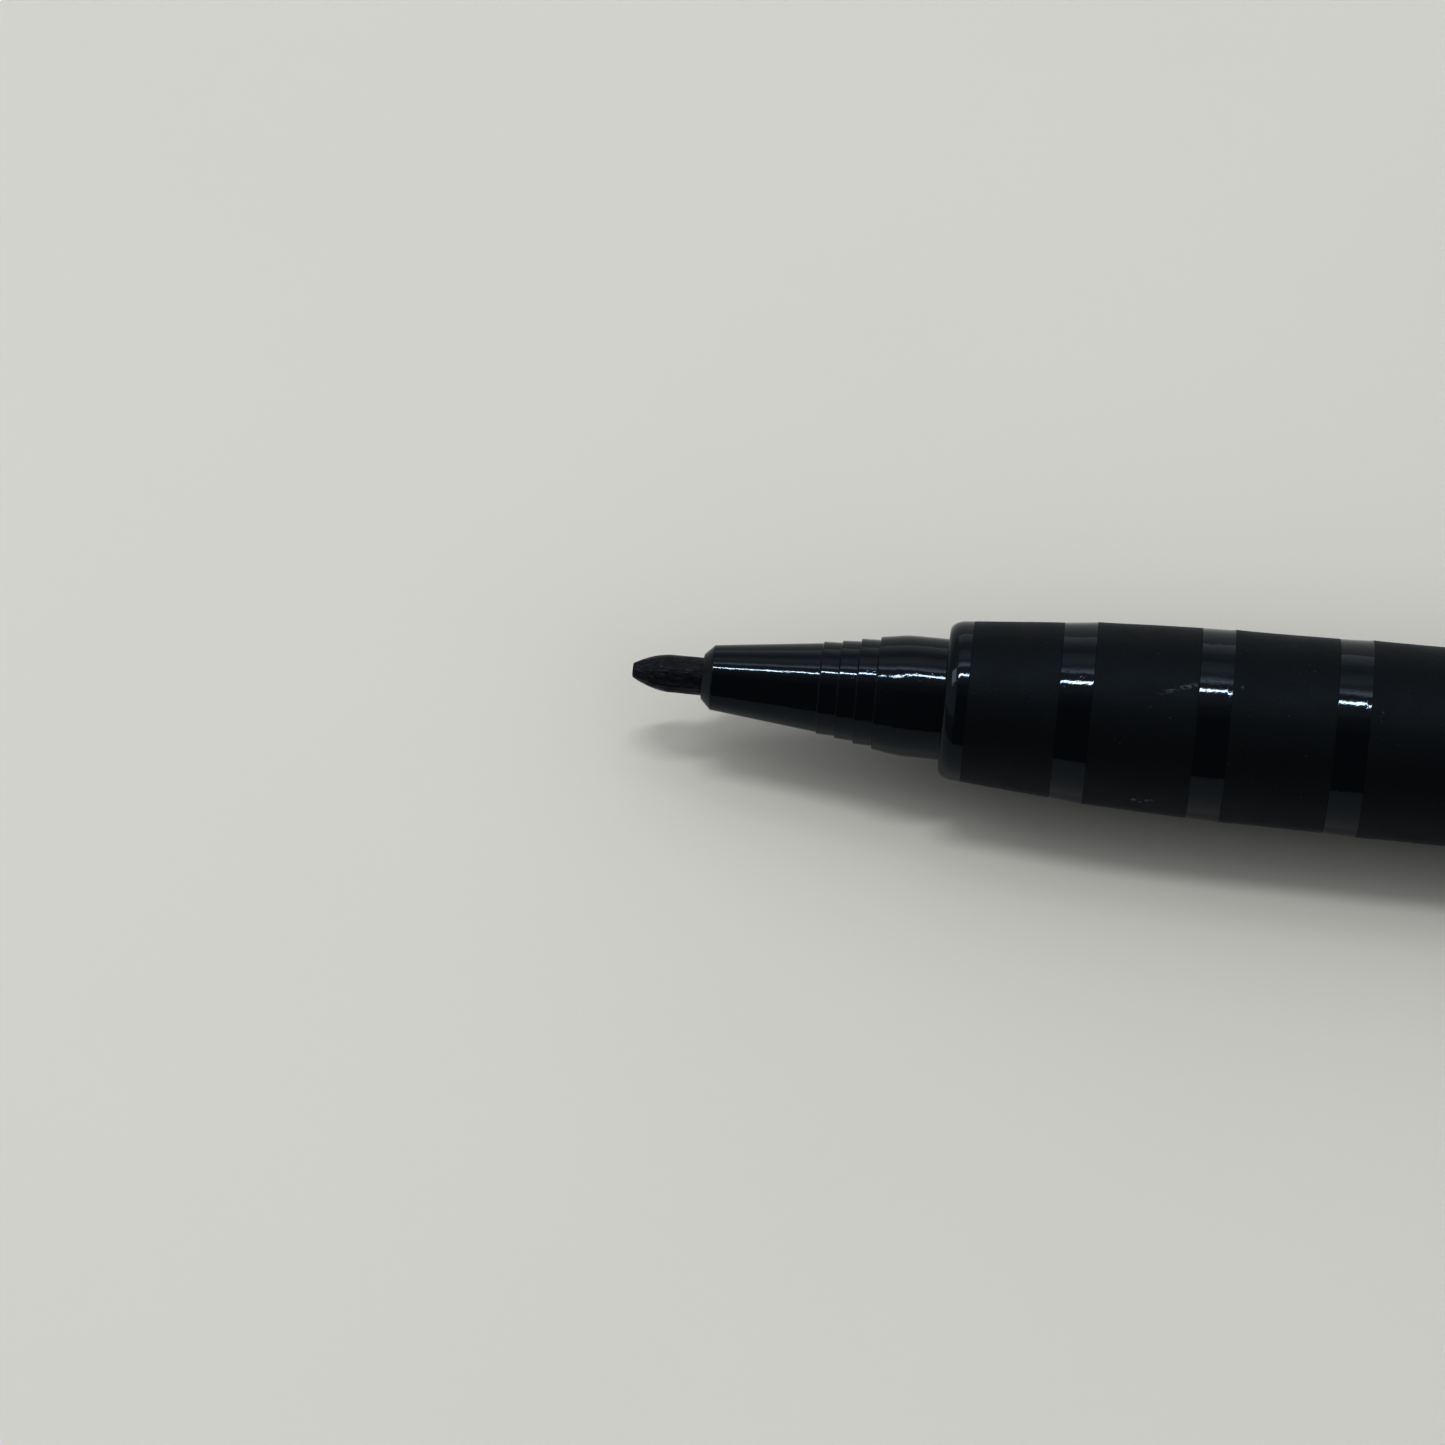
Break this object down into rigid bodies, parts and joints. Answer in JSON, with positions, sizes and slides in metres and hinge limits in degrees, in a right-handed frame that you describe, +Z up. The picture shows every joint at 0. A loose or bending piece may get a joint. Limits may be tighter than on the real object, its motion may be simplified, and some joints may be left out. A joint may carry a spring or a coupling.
{
  "type": "felt tip marker",
  "caption": "Felt tip marker with a stepped nose cone, soft grip rings on a cigar-shaped barrel, and its clipped cap posted on the tail.",
  "frame": {"origin": "centre of the bounding box's bottom: on the table plane that the barrel's belly and the cap's clip rest on, halfway between nib tip and cap end", "axes": "+X along the pen from nib to cap end, +Z up from the table; the pen's axis runs along X at y = 0.21 mm, z = 6.15 mm"},
  "size_m": [0.1496, 0.0128, 0.0123],
  "materials": {
    "gloss_black_plastic": "moulded gloss",
    "soft_black_rubber": "fine matte grain",
    "inked_felt": "bonded fibre, soaked with ink",
    "inked_fibre": "fibre bundle, soaked with ink",
    "clear_film": "thin clear film",
    "natural_plastic": "unpigmented"
  },
  "bodies": {
    "pen": {"barrel": "gloss_black_plastic", "nib": "inked_felt", "nib_holder": "gloss_black_plastic", "grip_ring_1": "soft_black_rubber", "grip_ring_2": "soft_black_rubber", "grip_ring_3": "soft_black_rubber", "grip_ring_4": "soft_black_rubber", "grip_ring_5": "soft_black_rubber", "reservoir_fibre": "inked_fibre", "reservoir_film": "clear_film", "end_plug": "gloss_black_plastic"},
    "cap": {"cap_shell": "gloss_black_plastic", "cap_inner_seal": "natural_plastic", "cap_end_disc": "gloss_black_plastic", "clip_root": "gloss_black_plastic"},
    "clip": {"clip_arm": "gloss_black_plastic"}
  },
  "joints": [
    {"name": "cap_pull", "type": "slide", "parent": "pen", "child": "cap", "axis": [1, 0, 0], "range_m": [0, 0.012]},
    {"name": "clip_flex", "type": "hinge", "parent": "cap", "child": "clip", "pos_m": [0.06646, -0.0049, 0.00151], "axis": [0, -0.6715, 0.741], "range_deg": [0, 5], "stiffness_Nm_per_rad": 1.5}
  ]
}
